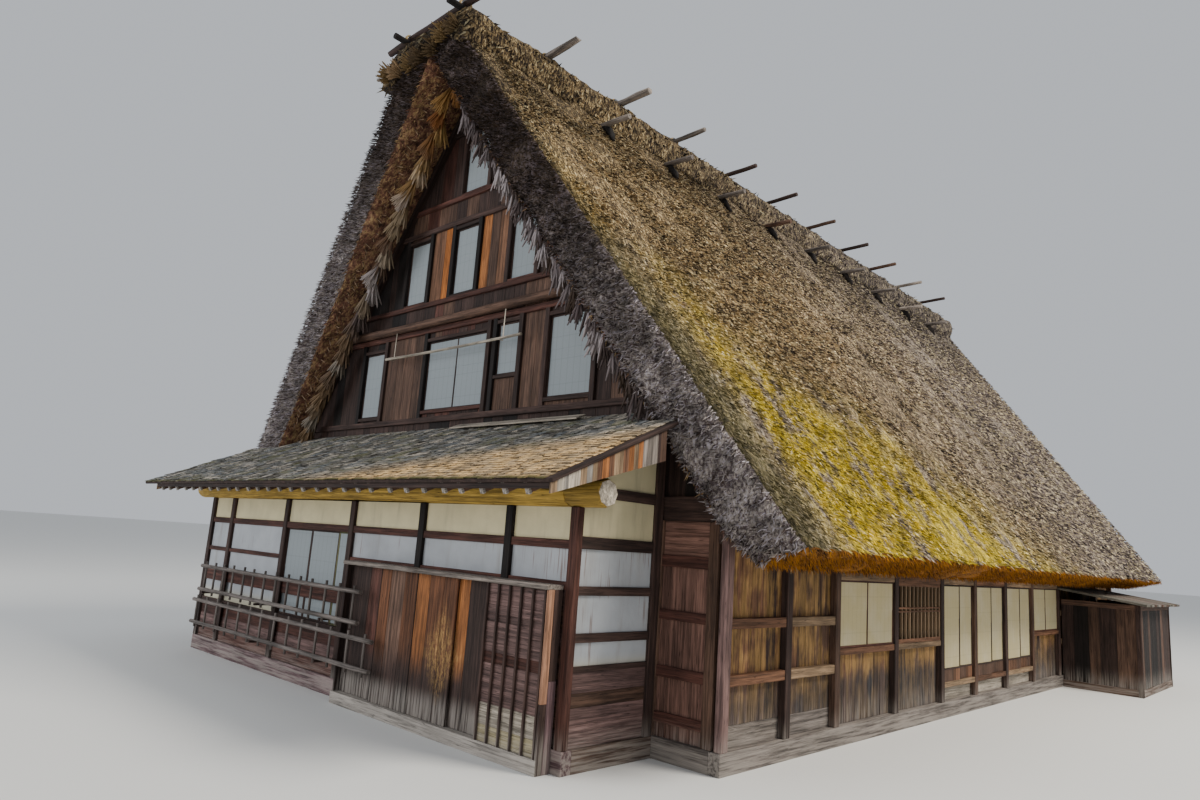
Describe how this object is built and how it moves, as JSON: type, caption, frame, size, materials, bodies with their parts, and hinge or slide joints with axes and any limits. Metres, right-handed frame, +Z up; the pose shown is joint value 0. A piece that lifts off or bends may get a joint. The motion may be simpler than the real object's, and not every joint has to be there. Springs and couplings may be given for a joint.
{
  "type": "thatched minka farmhouse",
  "caption": "Thatched timber farmhouse with a steep gable roof, a front porch with sliding doors under a shingled pent roof, paper windows and a side annex.",
  "frame": {"origin": "on the ground under the middle of the main front sill", "axes": "+X to the right seen from the front, +Y along the ridge to the back, +Z up"},
  "size_m": [14.75, 22.8503, 11.3272],
  "materials": {
    "thatch": "rough straw thatch",
    "paper": "matt paper on a wood lattice",
    "plaster_wall": "matt plaster between timber",
    "shingles": "weathered wood shingles",
    "log": "barked log",
    "boards": "weathered brown boards",
    "weathered_wood": "grey-brown weathered wood",
    "timber": "dark stained timber"
  },
  "bodies": {
    "house": {"annex_roof": "shingles", "annex_walls": "boards", "attic_floor_1": "weathered_wood", "attic_floor_2": "weathered_wood", "attic_floor_3": "weathered_wood", "door_frame": "timber", "door_leaf_1": "weathered_wood", "front_gable": "boards", "front_gable_paper_1": "paper", "front_gable_paper_2": "paper", "front_gable_paper_3": "paper", "front_wall_left": "boards", "front_wall_right": "boards", "ground_floor": "weathered_wood", "ground_sill": "timber", "hanging_pole": "weathered_wood", "ladder_lower": "weathered_wood", "ladder_upper": "weathered_wood", "left_paper": "paper", "left_wall": "boards", "pent_barge_left": "weathered_wood", "pent_barge_right": "weathered_wood", "pent_fascia": "weathered_wood", "pent_rafters": "timber", "pent_roof": "shingles", "porch_front": "plaster_wall", "porch_log": "log", "porch_wall_left": "boards", "porch_wall_right": "boards", "porch_window": "paper", "rafters_left": "timber", "rafters_right": "timber", "rear_gable": "boards", "rear_gable_paper_1": "paper", "rear_gable_paper_2": "paper", "rear_gable_paper_3": "paper", "rear_paper": "paper", "rear_pent_roof": "shingles", "rear_wall": "boards", "ridge_cap": "thatch", "ridge_needles": "timber", "ridge_poles": "timber", "right_lattice": "timber", "right_wall": "boards", "right_window_front": "paper", "right_window_rear": "paper", "shutter_box": "boards", "thatch_left": "thatch", "thatch_right": "thatch"},
    "door_leaf_2_body": {"door_leaf_2": "weathered_wood"},
    "door_leaf_3_body": {"door_leaf_3": "weathered_wood"},
    "door_leaf_4_body": {"door_leaf_4": "weathered_wood"},
    "paper_door_1_outer_body": {"paper_door_1_outer": "paper"},
    "paper_door_1_inner_body": {"paper_door_1_inner": "paper"},
    "paper_door_2_outer_body": {"paper_door_2_outer": "paper"},
    "paper_door_2_inner_body": {"paper_door_2_inner": "paper"},
    "paper_door_3_outer_body": {"paper_door_3_outer": "paper"},
    "paper_door_3_inner_body": {"paper_door_3_inner": "paper"}
  },
  "joints": [
    {"name": "door_leaf_2_slide", "type": "slide", "parent": "house", "child": "door_leaf_2_body", "axis": [-1, 0, 0], "range_m": [0, 0.84]},
    {"name": "door_leaf_3_slide", "type": "slide", "parent": "house", "child": "door_leaf_3_body", "axis": [1, 0, 0], "range_m": [0, 1.665]},
    {"name": "door_leaf_4_slide", "type": "slide", "parent": "house", "child": "door_leaf_4_body", "axis": [1, 0, 0], "range_m": [0, 0.835]},
    {"name": "paper_door_1_outer_slide", "type": "slide", "parent": "house", "child": "paper_door_1_outer_body", "axis": [0, 1, 0], "range_m": [0, 0.714]},
    {"name": "paper_door_1_inner_slide", "type": "slide", "parent": "house", "child": "paper_door_1_inner_body", "axis": [0, -1, 0], "range_m": [0, 0.714]},
    {"name": "paper_door_2_outer_slide", "type": "slide", "parent": "house", "child": "paper_door_2_outer_body", "axis": [0, 1, 0], "range_m": [0, 0.774]},
    {"name": "paper_door_2_inner_slide", "type": "slide", "parent": "house", "child": "paper_door_2_inner_body", "axis": [0, -1, 0], "range_m": [0, 0.774]},
    {"name": "paper_door_3_outer_slide", "type": "slide", "parent": "house", "child": "paper_door_3_outer_body", "axis": [0, 1, 0], "range_m": [0, 0.792]},
    {"name": "paper_door_3_inner_slide", "type": "slide", "parent": "house", "child": "paper_door_3_inner_body", "axis": [0, -1, 0], "range_m": [0, 0.792]}
  ]
}
